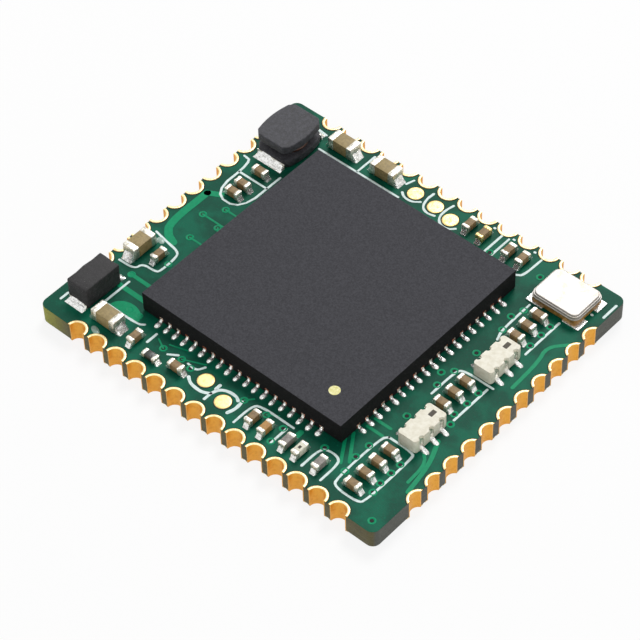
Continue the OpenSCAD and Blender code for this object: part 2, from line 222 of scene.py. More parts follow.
def moulded_black():
    """Filled epoxy: charcoal and finely grained on top; the sawn sides are painted near black as
    shade.
    """
    f = Finish("moulded_black")
    here = f.place()
    up = f.step(f.facing("Z"), 0.5, 0.9)
    grain = f.grain(here, 16, 4, 0.75)
    speck = f.step(f.grain(here, 30, 2, 0.6), 0.56, 0.78)
    top = f.blend(f.step(grain, 0.3, 0.7), rgb(52, 52, 56), rgb(76, 76, 81))
    top = f.blend(speck * 0.4, top, rgb(104, 104, 108))
    # Painted shade: the sides take a near-black copy of the epoxy, with faint streaks.
    sawn = f.grain(f.stretched(here, (1, 1, 3)), 9, 4, 0.7)
    side = f.blend(f.step(sawn, 0.55, 0.8), rgb(16, 15, 16), rgb(62, 60, 62))
    return f.surface(Base_Color=f.blend(up, side, top), Roughness=0.62 + 0.2 * grain,
                     Specular_IOR_Level=0.15, Normal=f.bump(grain + speck, 0.012))


def tin(name="tin", dark=rgb(150, 150, 142), light=rgb(236, 234, 226), rough=0.3):
    """Bright tin: solder and plated ends, with a fine crinkle."""
    f = Finish(name)
    here = f.place()
    crinkle = f.grain(here, 12, 3, 0.6)
    shade = f.blend(f.step(crinkle, 0.3, 0.6), dark, light)
    return f.surface(Base_Color=shade, Metallic=0.85, Roughness=rough,
                     Normal=f.bump(crinkle, 0.02))


def copper_end():
    """The cut end of a copper lead, with pale patches that are painted highlights."""
    f = Finish("copper_end")
    here = f.place()
    # Painted highlight: random patches of the copper turn pale.
    pale_highlight = f.step(f.grain(here, 11, 2), 0.42, 0.6)
    shade = f.blend(pale_highlight, rgb(190, 98, 62), rgb(236, 214, 200))
    return f.surface(Base_Color=shade, Metallic=0.8, Roughness=0.35,
                     Normal=f.bump(f.grain(here, 25, 2), 0.01))


def ceramic(name, dark, light, rough=0.5, scale=9):
    """Fired ceramic with a slight mottle."""
    f = Finish(name)
    here = f.place()
    mottle = f.grain(here, scale, 4, 0.6)
    shade = f.blend(f.step(mottle, 0.3, 0.7), dark, light)
    return f.surface(Base_Color=shade, Roughness=rough + 0.15 * mottle,
                     Normal=f.bump(f.grain(here, 26, 3), 0.008))


def rough_ferrite(name, dark, light, glint):
    """Pressed iron powder: dark and pitted, with a few bright specks that are painted glints."""
    f = Finish(name)
    here = f.place()
    pits = f.grain(here, 8, 5, 0.7)
    # Painted glints: a few specks take the bright glint colour.
    glint_specks = f.step(f.grain(here, 19, 3, 0.7), 0.62, 0.72)
    shade = f.blend(f.step(pits, 0.35, 0.7), dark, light)
    shade = f.blend(glint_specks * 0.8, shade, glint)
    return f.surface(Base_Color=shade, Roughness=0.55 + 0.25 * pits,
                     Normal=f.bump(pits + glint_specks * 0.3, 0.03))


def enamelled_wire():
    """Copper wire under dark enamel."""
    f = Finish("enamelled_wire")
    here = f.place()
    shade = f.blend(f.grain(here, 6, 2), rgb(42, 22, 12), rgb(96, 52, 24))
    return f.surface(Base_Color=shade, Metallic=0.3, Roughness=0.3, Coat_Weight=0.4,
                     Normal=f.bump(f.grain(here, 18, 2), 0.006))


def lid_metal():
    """Plated lid: warm light grey with faint ochre patches, and a darker grey on its sides that is
    painted shade.
    """
    f = Finish("lid_metal")
    here = f.place()
    patch = f.step(f.grain(here, 2.4, 4, 0.65), 0.52, 0.68)
    fine = f.grain(here, 15, 4, 0.7)
    up = f.step(f.facing("Z"), 0.4, 0.95)
    grey = f.blend(fine, rgb(176, 172, 168), rgb(210, 204, 198))
    grey = f.blend(patch * 0.5, grey, rgb(196, 176, 138))
    # Painted shade: faces that don't point up are darkened.
    grey = f.blend(1 - up, grey, rgb(150, 146, 138))
    return f.surface(Base_Color=grey, Metallic=0.5, Roughness=0.36 + 0.2 * fine,
                     Normal=f.bump(fine, 0.01))


def printed_ink():
    """White legend ink, thin enough to let a little green through."""
    f = Finish("printed_ink")
    here = f.place()
    thin = f.step(f.grain(here, 11, 3, 0.6), 0.52, 0.75)
    white = f.blend(thin * 0.5, rgb(226, 242, 240), rgb(150, 204, 190))
    return f.surface(Base_Color=white, Roughness=0.6, Normal=f.bump(thin, 0.006))


def flux_residue():
    """Dried flux: a cloudy grey film."""
    f = Finish("flux_residue")
    here = f.place()
    milky = f.grain(here, 8, 4, 0.6)
    return f.surface(Base_Color=f.blend(milky, rgb(92, 132, 118), rgb(176, 196, 184)),
                     Roughness=0.35, Coat_Weight=0.3, Normal=f.bump(milky, 0.02))


def shadow_gap(name="shadow_gap", dark=rgb(0, 20, 14), light=rgb(8, 44, 32)):
    """Painted shade: near-black green for bare laminate down in a narrow opening of the lacquer, and
    for holes.
    """
    f = Finish(name)
    here = f.place()
    speck = f.grain(here, 14, 2)
    return f.surface(Base_Color=f.blend(speck, dark, light), Roughness=0.8,
                     Normal=f.bump(speck, 0.005))


MASK = solder_mask()
MASKED_COPPER = masked_copper()
LAMINATE = bare_laminate()
GOLD = gold_plating()
PAD_GOLD = gold_plating("pad_gold", rgb(255, 226, 150), rgb(255, 238, 190))
CHIP_BLACK = moulded_black()
SOLDER = tin("solder", rgb(196, 196, 192), rgb(250, 250, 248), 0.24)
TIN_END = tin("tin_end", rgb(176, 172, 158), rgb(240, 236, 224), 0.34)
GOLDEN_END = tin("golden_end", rgb(190, 158, 92), rgb(240, 214, 150), 0.34)
COPPER = copper_end()
BROWN_CERAMIC = ceramic("brown_ceramic", rgb(120, 96, 62), rgb(150, 124, 84))
KHAKI_CERAMIC = ceramic("khaki_ceramic", rgb(138, 120, 78), rgb(164, 144, 98))
ORANGE_CERAMIC = ceramic("orange_ceramic", rgb(168, 122, 62), rgb(190, 146, 84))
GREY_FERRITE = ceramic("grey_ferrite", rgb(124, 118, 112), rgb(158, 152, 146))
WHITE_CERAMIC = ceramic("white_ceramic", rgb(214, 210, 190), rgb(236, 232, 214))
CREAM_CERAMIC = ceramic("cream_ceramic", rgb(222, 216, 196), rgb(240, 236, 220), 0.42, 5)
DARK_GLASS = ceramic("dark_glass", rgb(30, 32, 30), rgb(54, 56, 50), 0.25)
MARK_INK = ceramic("mark_ink", rgb(44, 36, 22), rgb(66, 56, 36), 0.5)
DOT_INK = ceramic("dot_ink", rgb(216, 208, 116), rgb(250, 246, 190), 0.5, 12)
GOLDEN_CERAMIC = ceramic("golden_ceramic", rgb(120, 84, 34), rgb(176, 130, 62), 0.45)
DRUM_FERRITE = rough_ferrite("drum_ferrite", rgb(46, 46, 50), rgb(74, 74, 80), rgb(128, 126, 126))
BLOCK_POWDER = rough_ferrite("block_powder", rgb(16, 15, 16), rgb(46, 44, 46), rgb(120, 116, 114))
WIRE = enamelled_wire()
LID = lid_metal()
INK = printed_ink()
RESIDUE = flux_residue()
GAP = shadow_gap()
# Painted shade: a flat near-black disc stands for the depth of each via's hole.
HOLE = shadow_gap("via_hole_shade", rgb(0, 4, 4), rgb(2, 12, 10))


# ---- mesh primitives, each a fresh bmesh in millimetres ----------------------------------------


def block(x, y, z, radius, segments=2):
    """A rounded block standing on the XY plane."""
    bm = bmesh.new()
    shape = Matrix.Translation((0, 0, z / 2)) @ Matrix.Diagonal((x, y, z, 1))
    bmesh.ops.create_cube(bm, size=1, matrix=shape)
    bmesh.ops.bevel(bm, geom=bm.edges[:], offset=radius, segments=segments, profile=0.5,
                    affect="EDGES")
    return bm


def prism(outline, bottom, top, radius=0.0, segments=2):
    """An outline drawn up from bottom to top, with its upper and lower rims rounded."""
    bm = bmesh.new()
    face = bm.faces.new([bm.verts.new((x, y, bottom)) for x, y in outline])
    if face.normal.z > 0 or face_turns_left(outline):
        face.normal_flip()
    raised = bmesh.ops.extrude_face_region(bm, geom=[face])["geom"]
    lifted = [v for v in raised if isinstance(v, bmesh.types.BMVert)]
    bmesh.ops.translate(bm, verts=lifted, vec=(0, 0, top - bottom))
    bmesh.ops.recalc_face_normals(bm, faces=bm.faces)
    if radius:
        rims = [e for e in bm.edges if abs(e.verts[0].co.z - e.verts[1].co.z) < 1e-6]
        bmesh.ops.bevel(bm, geom=rims, offset=radius, segments=segments, profile=0.5,
                        affect="EDGES", clamp_overlap=True)
    return bm


def face_turns_left(outline):
    ends = outline[1:] + outline[:1]
    return sum(a[0] * b[1] - a[1] * b[0] for a, b in zip(outline, ends)) > 0


def swept(profile, reach, steps):
    """A closed profile of (radius, height) points turned round Z.
    reach(radius) gives half the angle that the profile covers there."""
    bm = bmesh.new()
    rows = []
    for j in range(steps + 1):
        share = 2 * j / steps - 1
        rows.append([bm.verts.new((r * math.sin(share * reach(r)), r * math.cos(share * reach(r)), z))
                     for r, z in profile])
    count = len(profile)
    for a, b in zip(rows, rows[1:]):
        for k in range(count):
            bm.faces.new((a[k], a[(k + 1) % count], b[(k + 1) % count], b[k]))
    bm.faces.new(rows[0])
    bm.faces.new(rows[-1][::-1])
    bmesh.ops.recalc_face_normals(bm, faces=bm.faces)
    return bm


def turned(profile, steps=32):
    """A profile of (radius, height) points from the axis to the axis, turned full round Z."""
    bm = bmesh.new()
    rings = []
    for r, z in profile:
        if r < 1e-6:
            rings.append([bm.verts.new((0, 0, z))] * steps)
        else:
            rings.append([bm.verts.new((r * math.cos(math.tau * j / steps),
                                        r * math.sin(math.tau * j / steps), z))
                          for j in range(steps)])
    for a, b in zip(rings, rings[1:]):
        for j in range(steps):
            k = (j + 1) % steps
            corners = [a[j], a[k], b[k], b[j]]
            unique = [v for i, v in enumerate(corners) if v not in corners[:i]]
            if len(unique) > 2:
                bm.faces.new(unique)
    bmesh.ops.recalc_face_normals(bm, faces=bm.faces)
    return bm


def height_field(columns, rows, point):
    """A closed lump over a flat base: point(u, v) gives x, y, z for u in 0..1, v in -1..1."""
    bm = bmesh.new()
    top, base = [], []
    for i in range(columns + 1):
        spots = [point(i / columns, 2 * j / rows - 1) for j in range(rows + 1)]
        top.append([bm.verts.new(s) for s in spots])
        base.append([bm.verts.new((s[0], s[1], 0)) for s in spots])
    for layer in (top, base):
        for i in range(columns):
            for j in range(rows):
                bm.faces.new((layer[i][j], layer[i + 1][j], layer[i + 1][j + 1], layer[i][j + 1]))
    rim = [(i, 0) for i in range(columns)] + [(columns, j) for j in range(rows)]
    rim += [(i, rows) for i in range(columns, 0, -1)] + [(0, j) for j in range(rows, 0, -1)]
    for a, b in zip(rim, rim[1:] + rim[:1]):
        bm.faces.new((top[a[0]][a[1]], base[a[0]][a[1]], base[b[0]][b[1]], top[b[0]][b[1]]))
    bmesh.ops.remove_doubles(bm, verts=bm.verts, dist=1e-5)
    bmesh.ops.recalc_face_normals(bm, faces=bm.faces)
    return bm


def softened(points, rounds=2):
    """The same path with its corners cut round."""
    path = [Vector(p) for p in points]
    for _ in range(rounds):
        cut = [path[0]]
        for a, b in zip(path, path[1:]):
            cut += [a.lerp(b, 0.25), a.lerp(b, 0.75)]
        path = cut + [path[-1]]
    return path


def stroke(points, width, uneven=0.0):
    """Outline of a pen stroke along points, with round ends."""
    path = softened(points) if len(points) > 2 else [Vector(p) for p in points]
    half = width / 2
    left, right = [], []
    for i, p in enumerate(path):
        ahead = (path[min(i + 1, len(path) - 1)] - path[max(i - 1, 0)]).normalized()
        side = Vector((-ahead.y, ahead.x))
        swell = half * (1 + uneven * noise.noise(Vector((p.x * 4, p.y * 4, width))))
        left.append(p + side * swell)
        right.append(p - side * swell)
    ends = []
    for tip, back in ((path[-1], path[-2]), (path[0], path[1])):
        out = math.atan2(tip.y - back.y, tip.x - back.x)
        ends.append([tip + Vector((math.cos(out + a), math.sin(out + a))) * half
                     for a in (math.pi / 2 - k * math.pi / 6 for k in range(1, 6))])
    return [(p.x, p.y) for p in left + ends[0] + right[::-1] + ends[1]]


def roughened(bm, cuts, amount, scale, seed=0):
    """The same mesh, cut finer and pushed in and out by noise."""
    bmesh.ops.subdivide_edges(bm, edges=bm.edges[:], cuts=cuts, use_grid_fill=True)
    bm.normal_update()
    shift = Vector((seed * 7.3, seed * 3.1, seed * 5.7))
    for v in bm.verts:
        v.co += v.normal * amount * noise.noise(v.co * scale + shift)
    return bm


# ---- pieces ------------------------------------------------------------------------------------


def at(x, y, z=0.0, turn=0.0):
    return Matrix.Translation((x, y, z)) @ Matrix.Rotation(math.radians(turn), 4, "Z")


def corners(node):
    low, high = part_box(node)
    return low / MM, high / MM


class Piece:
    """One object in the making: primitives are added in millimetres, each with its finish."""

    def __init__(self, name):
        self.name = name
        self.bm = bmesh.new()
        self.finishes = []

    def add(self, bm, finish, place=None, smooth=True):
        if finish not in self.finishes:
            self.finishes.append(finish)
        for face in bm.faces:
            face.material_index = self.finishes.index(finish)
            face.smooth = smooth
        bmesh.ops.transform(bm, matrix=place or Matrix(), verts=bm.verts)
        scratch = bpy.data.meshes.new("scratch")
        bm.to_mesh(scratch)
        bm.free()
        self.bm.from_mesh(scratch)
        bpy.data.meshes.remove(scratch)
        return self

    def done(self, slot, *nodes):
        """Makes the object, sets it on the board's body, and hides the solids it stands for."""
        bmesh.ops.scale(self.bm, vec=(MM,) * 3, verts=self.bm.verts)
        mesh = bpy.data.meshes.new(self.name)
        self.bm.to_mesh(mesh)
        self.bm.free()
        mesh.set_sharp_from_angle(angle=math.radians(40))
        for finish in self.finishes:
            mesh.materials.append(finish)
        made = bpy.data.objects.new(self.name, mesh)
        bpy.context.scene.collection.objects.link(made)
        even = made.modifiers.new("even_shading", "WEIGHTED_NORMAL")
        even.keep_sharp = True
        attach(made, "root")
        if nodes:
            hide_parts(*nodes)
        return made


# ---- the board ---------------------------------------------------------------------------------

# Holes and rings are drawn a few hundredths of a millimetre wider than the solids, and the
# board's corners rounder.
BOARD_LOW, BOARD_HIGH = corners("circuit_board")
TOP = BOARD_HIGH.z
PITCH = 0.9
CORNER_R = 0.3
LEFT_STEP = 0.15
COPPER_T = 0.03
HOLE_R = 0.3
BARREL_R = 0.335
RING_R = 0.4
LAND_LENGTH = 0.8
# The gap that the lacquer leaves round a ring, its floor painted near black as shade, and how far
# that floor is raised to show.
OPENING_W = 0.035
OPENING_T = 0.003
PATTERN_SHIFT = 0.15
LONG_ROW = [PATTERN_SHIFT + (i - 6.5) * PITCH for i in range(14)]
SHORT_ROW = [(j - 5) * PITCH for j in range(11)]
LEFT_X = BOARD_LOW.x + LEFT_STEP
STEP_Y = SHORT_ROW[-1] + RING_R
# How far the hole centres lie outside the edge that they cut.
OUTSET = {"front": 0.0, "back": 0.0, "left": 0.0, "right": 0.15}


def notched(start, end, centres, outset, radius):
    """Points from start to end that dip round a half hole at each centre."""
    start, end = Vector(start), Vector(end)
    ahead = (end - start).normalized()
    inward = Vector((-ahead.y, ahead.x))
    lowest = math.asin(outset / radius)
    points = []
    for distance in sorted((Vector(c) - start).dot(ahead) for c in centres):
        hub = start + ahead * distance - inward * outset
        for k in range(13):
            turn = math.pi - lowest - k * (math.pi - 2 * lowest) / 12
            points.append(hub + (ahead * math.cos(turn) + inward * math.sin(turn)) * radius)
    return points


def corner(x, y, start_angle):
    """A quarter arc round one corner of the board."""
    turns = [math.radians(start_angle + 15 * k) for k in range(7)]
    return [Vector((x + CORNER_R * math.cos(t), y + CORNER_R * math.sin(t))) for t in turns]


def board_outline():
    low, high = BOARD_LOW, BOARD_HIGH
    inner_low = Vector((low.x + CORNER_R, low.y + CORNER_R))
    inner_high = Vector((high.x - CORNER_R, high.y - CORNER_R))
    points = corner(inner_low.x, inner_low.y, 180)
    points += notched((low.x, low.y), (high.x, low.y), [(x, low.y) for x in LONG_ROW], 0, BARREL_R)
    points += corner(inner_high.x, inner_low.y, 270)
    points += notched((high.x, low.y), (high.x, high.y), [(high.x, y) for y in SHORT_ROW],
                      OUTSET["right"], BARREL_R)
    points += corner(inner_high.x, inner_high.y, 0)
    points += notched((high.x, high.y), (low.x, high.y), [(x, high.y) for x in LONG_ROW], 0,
                      BARREL_R)
    points += corner(inner_low.x, inner_high.y, 90)
    points += [Vector((low.x, STEP_Y)), Vector((LEFT_X, STEP_Y))]
    points += notched((LEFT_X, STEP_Y), (LEFT_X, -STEP_Y), [(LEFT_X, y) for y in SHORT_ROW], 0,
                      BARREL_R)
    points += [Vector((LEFT_X, -STEP_Y)), Vector((low.x, -STEP_Y))]
    return [(p.x, p.y) for p in points]


def make_board():
    """Laminate body with a lacquered face above and below."""
    slab = prism(board_outline(), BOARD_LOW.z, TOP, 0.02, 2)
    piece = Piece("board").add(slab, MASK)
    piece.finishes.append(LAMINATE)
    for face in piece.bm.faces:
        face.material_index = 0 if abs(face.normal.z) > 0.6 else 1
    return piece.done("green_board", "circuit_board")


def contact(outset):
    """A plated half hole at the origin that opens towards -Y, with the board's edge at y = outset."""
    profile = [(RING_R, TOP), (RING_R, TOP + 0.02), (RING_R - 0.015, TOP + COPPER_T),
               (HOLE_R + 0.02, TOP + COPPER_T), (HOLE_R + 0.005, TOP + 0.02),
               (HOLE_R, TOP), (HOLE_R, 0), (BARREL_R, 0), (BARREL_R, TOP)]
    return swept(profile, lambda r: math.acos(outset / r), 24)


def land(outset):
    """The flat land under the board, a slot shape cut by the hole."""
    lowest = math.asin(outset / HOLE_R)
    arc = [math.pi - lowest - k * (math.pi - 2 * lowest) / 16 for k in range(17)]
    inner = [(HOLE_R * math.cos(t), HOLE_R * math.sin(t)) for t in arc]
    straight = LAND_LENGTH - RING_R
    outer = [(RING_R * math.cos(t), straight + RING_R * math.sin(t))
             for t in (k * math.pi / 16 for k in range(17))]
    return prism(inner + [(RING_R, outset)] + outer + [(-RING_R, outset)], 0, COPPER_T, 0.008, 1)


def opening(outset):
    """The narrow gap that the lacquer leaves round a contact's ring, painted near black as shade."""
    outer = RING_R + OPENING_W
    profile = [(RING_R - 0.01, TOP), (outer, TOP), (outer, TOP + OPENING_T),
               (RING_R - 0.01, TOP + OPENING_T)]
    return swept(profile, lambda r: math.acos(outset / r), 24)


def contact_places(edge):
    low, high = BOARD_LOW, BOARD_HIGH
    return {"front": [at(x, low.y) for x in LONG_ROW],
            "back": [at(x, high.y, 0, 180) for x in LONG_ROW],
            "left": [at(LEFT_X, y, 0, -90) for y in SHORT_ROW],
            "right": [at(high.x + OUTSET["right"], y, 0, 90) for y in SHORT_ROW]}[edge]


def make_contacts():
    gaps = Piece("contact_openings_shade")
    for edge, outset in OUTSET.items():
        piece = Piece(f"{edge}_half_holes")
        for place in contact_places(edge):
            piece.add(contact(outset), GOLD, place)
            piece.add(land(outset), GOLD, place)
            gaps.add(opening(outset), GAP, place)
        piece.done("gold_plating", f"{edge}_contacts")
    gaps.done("green_board")


TEST_PADS = [(-1.15, 5.7), (-0.2, 5.65), (0.6, 5.5), (-0.85, -5.3), (0.2, -5.6)]
TEST_PAD_R = 0.3


def make_test_pads():
    pads = Piece("bare_pads")
    gaps = Piece("pad_openings_shade")
    for x, y in TEST_PADS:
        dome = [(0, 0), (TEST_PAD_R, 0), (TEST_PAD_R, 0.018), (TEST_PAD_R - 0.02, COPPER_T - 0.002),
                (TEST_PAD_R - 0.06, COPPER_T), (0, COPPER_T - 0.004)]
        pads.add(turned(dome), PAD_GOLD, at(x, y, TOP))
        # Painted shade: a near-black ring round each pad where the lacquer is open.
        outer = TEST_PAD_R + 0.04
        gaps.add(turned([(0, 0), (outer, 0), (outer, OPENING_T), (0, OPENING_T)]), GAP, at(x, y, TOP))
    pads.done("gold_plating", "test_pads")
    gaps.done("green_board")


# ---- printing and copper on the board's top ----------------------------------------------------

INK_W = 0.09
INK_T = 0.012
# Each stroke of the white legend: its points, then its width where it isn't the usual one.
LEGEND = [
    # back edge, from the left
    ([(-5.2, 5.17), (-1.5, 5.17)],), ([(-3.42, 5.2), (-3.42, 6.15)],),
    ([(-5.9, 5.9), (-5.45, 5.85)],), ([(-1.6, 6.15), (-1.7, 5.85)],),
    ([(-1.55, 5.45), (-1.35, 5.3), (-1.0, 5.3), (-0.75, 5.5)],),
    ([(-0.65, 6.1), (-0.68, 5.75), (-0.55, 5.35), (-0.25, 5.22), (0.05, 5.3)],),
    ([(0.25, 6.1), (0.17, 5.75), (0.2, 5.35), (0.45, 5.1), (0.8, 5.1), (1.0, 5.3)],),
    ([(2.43, 5.15), (2.43, 6.1)],), ([(2.72, 5.15), (2.72, 6.1)],),
    ([(3.95, 4.98), (4.15, 5.1), (4.18, 6.05)],),
    ([(2.0, 6.2), (2.03, 6.2)],), ([(2.85, 6.2), (2.88, 6.2)],), ([(3.77, 6.2), (3.8, 6.2)],),
    # crystal
    ([(7.39, 5.35), (7.39, 6.05)],), ([(7.0, 5.2), (7.03, 5.2)],),
    # right-hand column
    ([(5.15, 4.2), (5.15, 2.75), (5.3, 2.3)],), ([(6.42, 4.2), (6.42, 2.4)],),
    ([(5.15, -0.9), (5.15, 0.3), (5.3, 0.55), (6.55, 0.55)],), ([(6.43, 0.4), (6.43, -1.3)],),
    ([(5.3, -3.2), (5.12, -3.4), (5.12, -5.6), (5.3, -5.85), (6.25, -5.85), (6.42, -5.65),
      (6.42, -3.35), (6.3, -3.2), (5.3, -3.2)],),
    # front edge, from the right
    ([(3.93, -5.9), (3.93, -5.1), (4.1, -4.87), (4.6, -4.87), (4.78, -5.1), (4.78, -5.95)],),
    ([(1.05, -6.0), (1.05, -5.15), (1.25, -4.92), (2.7, -4.92)],),
    ([(2.55, -5.1), (2.55, -5.85)],), ([(0.68, -5.2), (0.72, -5.55), (0.62, -5.85)], 0.12),
    ([(-1.4, -5.55), (-1.2, -5.7), (-0.95, -5.75), (-0.6, -5.75), (-0.35, -5.6)], 0.12),
    ([(-0.35, -5.9), (-0.35, -5.6), (-0.25, -5.3), (0.05, -5.15), (0.4, -5.15), (0.55, -5.25)],
     0.12),
    ([(-0.35, -5.35), (-0.35, -5.15)], 0.12),
    ([(-3.5, -4.9), (-3.5, -5.35)], 0.1), ([(-2.6, -5.3), (-2.3, -5.1)],),
    ([(-1.8, -5.15), (-1.4, -5.2), (-1.25, -4.9)],),
    # left end
    ([(-5.87, -3.8), (-5.87, -4.95)],), ([(-5.87, -5.0), (-4.3, -5.0), (-4.1, -4.85)],),
    ([(-7.1, -5.5), (-7.1, -5.85)],),
    ([(-6.8, -1.5), (-6.1, -1.63), (-5.6, -1.7), (-5.43, -1.9), (-5.4, -2.75), (-5.5, -2.88),
      (-6.1, -2.9), (-6.15, -3.25), (-6.85, -3.28)],),
    ([(-7.0, 3.2), (-6.6, 3.15), (-6.6, 1.13), (-5.28, 1.13), (-5.28, 3.2)],),
    ([(-6.6, 2.5), (-5.28, 2.5)],),
]


def make_legend():
    piece = Piece("legend_ink")
    for item in LEGEND:
        width = item[1] if len(item) > 1 else INK_W
        piece.add(prism(stroke(item[0], width, 0.25), TOP, TOP + INK_T, 0.004, 1), INK)
    piece.done("green_board")


TRACE_T = 0.008
# Each run of copper under the lacquer: its points and its width.
RUNS = [
    ([(-6.75, 1.0), (-6.75, -0.9), (-6.4, -1.35), (-6.0, -1.5)], 0.3),
    ([(-6.75, 1.0), (-6.3, 1.25)], 0.25),
    ([(-6.1, -3.5), (-4.6, -3.5)], 0.16), ([(-6.1, -4.1), (-4.6, -4.1)], 0.2),
    ([(4.3, -3.8), (5.0, -4.8)], 0.12), ([(4.15, -4.0), (4.8, -5.0)], 0.12),
    ([(4.45, -2.9), (5.1, -2.9)], 0.12), ([(4.45, -3.3), (5.1, -3.3)], 0.12),
    ([(7.3, 3.7), (6.75, 3.1), (6.95, 2.4), (7.0, 1.0)], 0.14),
    ([(6.6, -2.3), (7.0, -3.2), (7.2, -4.5)], 0.16),
    ([(6.55, -2.95), (6.9, -3.3), (6.95, -4.2)], 0.12),
    ([(-2.9, -5.2), (-3.3, -5.0)], 0.06), ([(-2.1, -5.15), (-1.3, -4.8)], 0.06),
    ([(0.68, -5.1), (0.9, -4.85)], 0.07), ([(1.65, -5.08), (2.0, -4.85)], 0.07),
    ([(-2.85, -4.95), (-2.2, -4.75)], 0.06), ([(3.0, -4.9), (3.0, -5.15)], 0.2),
    ([(-5.68, 0.82), (-5.0, 0.82)], 0.08), ([(-6.15, 0.15), (-5.0, 0.15)], 0.08),
    ([(-5.73, -0.95), (-5.0, -0.95)], 0.08), ([(-5.3, 0), (-5.0, -0.3)], 0.08),
]
VIAS = [
    (-5.68, 0.82), (-6.15, 0.15), (-5.3, 0), (-5.73, -0.95), (-5.42, -2.35), (-6.05, -3.5),
    (-4.97, -4.68), (-4.52, -4.7), (-2.9, -5.2), (-2.1, -5.15), (-1.6, -5.25), (0.68, -5.1),
    (1.65, -5.08), (2.45, -5.15), (2.5, -5.8), (4.0, -4.87), (7.08, -6.1), (5.03, -3.88),
    (6.3, -3.82), (6.3, -4.27), (6.3, -4.8), (5.13, -5.17), (6.37, -5.23), (5.0, -4.5),
    (5.15, 1.4), (5.1, 0.32), (4.8, 0), (6.3, 0.1), (5.15, 2.75), (6.3, 2.8), (6.3, -0.48),
    (6.27, -1.1), (6.45, -1.5), (5.15, -2.15), (5.05, -0.5), (5.15, 3.88), (5, 3.4),
    (6.28, 3.88), (6.28, 3.4), (4.63, 5.42), (2.6, 5.2),
]
VIA_R = 0.07
VIA_RING_R = 0.15


def half_ellipse(x, y, reach_x, reach_y):
    turns = [k * math.pi / 16 for k in range(17)]
    return [(x + reach_x * math.cos(t), y + reach_y * math.sin(t)) for t in turns]


def make_copper():
    runs = Piece("copper_under_lacquer")
    for points, width in RUNS:
        runs.add(prism(stroke(points, width), TOP, TOP + TRACE_T, 0.003, 1), MASKED_COPPER)
    pour = half_ellipse(-5.0, -4.95, 0.65, 0.5)
    runs.add(prism(pour, TOP, TOP + TRACE_T, 0.003, 1), MASKED_COPPER)
    runs.done("green_board")
    vias = Piece("vias")
    for x, y in VIAS:
        ring = [(VIA_R, 0), (VIA_RING_R, 0), (VIA_RING_R - 0.01, 0.012), (VIA_R + 0.02, 0.014)]
        vias.add(turned(ring + ring[:1], 20), MASKED_COPPER, at(x, y, TOP))
        # Painted shade: the via's hole is a flat near-black disc.
        vias.add(turned([(0, 0), (VIA_R, 0), (VIA_R, 0.005), (0, 0.004)], 20), HOLE, at(x, y, TOP))
    vias.done("green_board")


def make_residue():
    piece = Piece("flux_spots")
    for x, y, reach_x, reach_y in ((-5.2, -6.1, 0.22, 0.12), (-6.4, -1.7, 0.18, 0.12)):
        def point(u, v, rx=reach_x, ry=reach_y):
            across = rx * math.sqrt(max(0, 1 - (2 * u - 1) ** 2))
            rise = 0.03 * (1 - v * v) * math.sqrt(max(0, 4 * u * (1 - u)))
            return (2 * u - 1) * ry, across * v, rise
        piece.add(height_field(10, 10, point), RESIDUE, at(x, y, TOP, 70))
    piece.done("solder")


# ---- the chip ----------------------------------------------------------------------------------

LEAD_PITCH = 0.4
LEAD_COUNT = 19
SIDES = {"right": 0, "back": 90, "left": 180, "front": 270}
DOT_PLACE = (3.15, -3.4)
DOT_R = 0.2
LEAD_END = (0.06, 0.17, 0.2)


def make_chip():
    low, high = corners("chip_body")
    size = high - low
    centre = (low + high) / 2
    body = block(size.x, size.y, size.z, 0.03, 2)
    chip = Piece("chip").add(body, CHIP_BLACK, at(centre.x, centre.y, low.z))
    dot = [(0, 0), (DOT_R, 0), (DOT_R, 0.003), (DOT_R - 0.03, 0.005), (0, 0.005)]
    chip.add(turned(dot), DOT_INK, at(*DOT_PLACE, high.z))
    chip.done("chip_mould", "chip_body")
    for side, turn in SIDES.items():
        leads = Piece(f"{side}_lead_ends")
        joints = Piece(f"{side}_joints")
        for i in range(LEAD_COUNT):
            along = (i - (LEAD_COUNT - 1) / 2) * LEAD_PITCH
            place = at(centre.x, centre.y, 0, turn) @ at(size.x / 2, along)
            leads.add(block(*LEAD_END, 0.02, 2), COPPER, place @ at(-0.022, 0, low.z))
            joints.add(solder_joint(), SOLDER, place @ at(0, 0, TOP))
        leads.done("copper_lead", f"chip_{side}_leads")
        joints.done("solder", f"chip_{side}_solder")


def solder_joint():
    """One joint of the chip: a full blob on its land that tapers up the lead's end."""
    reach = 0.34 + RANDOM.uniform(-0.03, 0.02)
    half = 0.095 + RANDOM.uniform(-0.012, 0.008)
    climb = 0.2 + RANDOM.uniform(-0.03, 0.02)
    belly = 0.085 + RANDOM.uniform(-0.01, 0.015)

    def point(u, v):
        waist = 0.62 + 0.38 * min(1, u / 0.35)
        width = half * waist * math.sqrt(max(0, 1 - max(0, (u - 0.55) / 0.45) ** 2))
        rise = climb * max(0, 1 - u / 0.35) ** 1.5
        crest = max(rise, belly * math.sqrt(max(0, 1 - u ** 3)))
        return u * reach, v * width, 0.004 + crest * math.sqrt(max(0, 1 - abs(v) ** 2.4))

    return height_field(10, 8, point)


# ---- inductors ---------------------------------------------------------------------------------


DRUM_BOW = 0.1
DRUM_CUT = 0.18
LOWER_FLANGE_T = 0.32
UPPER_FLANGE_T = 0.34
POST_R = 0.42
DRUM_TURNS = 4
DRUM_FEET = {"width": 1.3, "climb": 0.22}
BLOCK_FEET = {"width": 0.84, "climb": 0.14}


def flange_outline(half_x, half_y, bow, cut):
    """A rectangle with cut corners whose two long sides bow outwards."""
    spread = 0.78 * half_y
    curve = [(half_x + bow * math.cos(k * math.pi / 16) ** 0.8, spread * k / 8) for k in range(-7, 8)]
    right = [(half_x - cut, -half_y), (half_x, -half_y + cut), *curve, (half_x, half_y - cut),
             (half_x - cut, half_y)]
    return right + [(-x, -y) for x, y in right]


